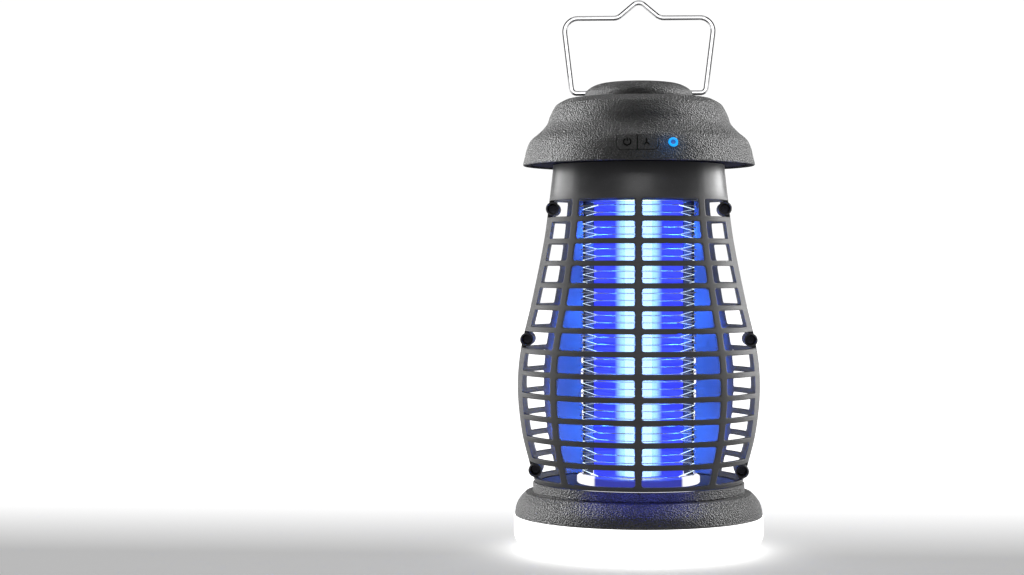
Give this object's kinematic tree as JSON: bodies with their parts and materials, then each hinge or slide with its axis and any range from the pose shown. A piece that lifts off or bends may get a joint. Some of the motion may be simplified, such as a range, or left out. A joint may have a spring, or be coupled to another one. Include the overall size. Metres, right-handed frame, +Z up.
{
  "type": "bug zapper lantern",
  "caption": "Table or hanging bug zapper: slotted round guard over a blue lamp and wire grid, domed hat with buttons, wire bail, glowing base ring.",
  "frame": {"origin": "on the lantern's axis, on the surface its rubber feet stand on", "axes": "+Z up along the axis, -Y towards the front with the buttons, +X to the right seen from the front"},
  "size_m": [0.1256, 0.1256, 0.2774],
  "materials": {
    "grained_black_plastic": "matte black ABS with a fine pebble grain",
    "satin_black_plastic": "satin black moulded plastic",
    "lantern_white_plastic": "translucent white plastic, lit from inside",
    "uv_tube_glass": "glowing blue-white ultraviolet tube",
    "blue_lamp_sleeve": "translucent royal blue sleeve, lit from inside",
    "chromed_wire": "bright plated steel wire",
    "bright_steel": "plain bright steel",
    "dark_insulator": "dark insulating plastic",
    "blackened_steel": "blackened steel screws",
    "tray_black_plastic": "matte black plastic",
    "tray_white_plastic": "pale translucent plastic, lit from below by the lantern",
    "circuit_board": "green circuit board with solder mask",
    "battery_wrap": "blue shrink wrap",
    "potting_resin": "black potting resin",
    "black_rubber": "soft black rubber",
    "button_black_plastic": "matte black plastic keys",
    "indicator_lens": "clear blue light pipe",
    "plated_contact": "plated brass"
  },
  "bodies": {
    "base": {"base_ring": "grained_black_plastic", "lantern_diffuser": "lantern_white_plastic", "led_ring_board": "circuit_board", "base_screw_1": "bright_steel", "base_screw_2": "bright_steel", "base_screw_3": "bright_steel", "rubber_foot_1": "black_rubber", "rubber_foot_2": "black_rubber", "rubber_foot_3": "black_rubber", "rubber_foot_4": "black_rubber", "contact_pin_1": "plated_contact", "contact_pin_2": "plated_contact", "insect_tray": "tray_white_plastic"},
    "upper": {"cage_front": "satin_black_plastic", "cage_rear": "satin_black_plastic", "hat_base_plate": "satin_black_plastic", "cage_screw_1": "blackened_steel", "cage_screw_2": "blackened_steel", "cage_screw_3": "blackened_steel", "cage_screw_4": "blackened_steel", "cage_screw_5": "blackened_steel", "cage_screw_6": "blackened_steel", "hat_screw_1": "bright_steel", "hat_screw_2": "bright_steel", "hat_screw_3": "bright_steel", "bail_saddle_left": "bright_steel", "bail_saddle_right": "bright_steel", "usb_socket": "bright_steel", "grid_wire_live": "bright_steel", "grid_wire_neutral": "bright_steel", "hat_shell": "grained_black_plastic", "crown_cap": "grained_black_plastic", "indicator_lens": "indicator_lens", "control_board": "circuit_board", "switch_board": "circuit_board", "charge_board": "circuit_board", "battery_cell": "battery_wrap", "battery_cradle": "tray_black_plastic", "hv_module": "potting_resin", "uv_tube": "uv_tube_glass", "lamp_sleeve": "blue_lamp_sleeve", "upper_lamp_holder": "dark_insulator", "lower_lamp_holder": "dark_insulator", "lamp_stem": "dark_insulator", "grid_post_1": "dark_insulator", "grid_post_2": "dark_insulator", "grid_post_3": "dark_insulator", "grid_post_4": "dark_insulator"},
    "handle": {"carry_handle": "chromed_wire"},
    "power_key": {"power_button": "button_black_plastic"},
    "mode_key": {"mode_button": "button_black_plastic"},
    "port_cover": {"usb_cover": "black_rubber"}
  },
  "joints": [
    {"name": "body_lift", "type": "slide", "parent": "base", "child": "upper", "axis": [0, 0, 1], "range_m": [0, 0.045]},
    {"name": "handle_swing", "type": "hinge", "parent": "upper", "child": "handle", "pos_m": [0, 0, 0.2307], "axis": [1, 0, 0], "range_deg": [-95, 95]},
    {"name": "power_press", "type": "slide", "parent": "upper", "child": "power_key", "axis": [0, 0.9397, -0.342], "range_m": [0, 0.0008], "stiffness_N_per_m": 600, "springref_m": -0.002},
    {"name": "mode_press", "type": "slide", "parent": "upper", "child": "mode_key", "axis": [0, 0.9397, -0.342], "range_m": [0, 0.0008], "stiffness_N_per_m": 600, "springref_m": -0.002},
    {"name": "cover_lift", "type": "hinge", "parent": "upper", "child": "port_cover", "pos_m": [0, 0.0562, 0.2036], "axis": [1, 0, 0], "range_deg": [0, 100]}
  ]
}
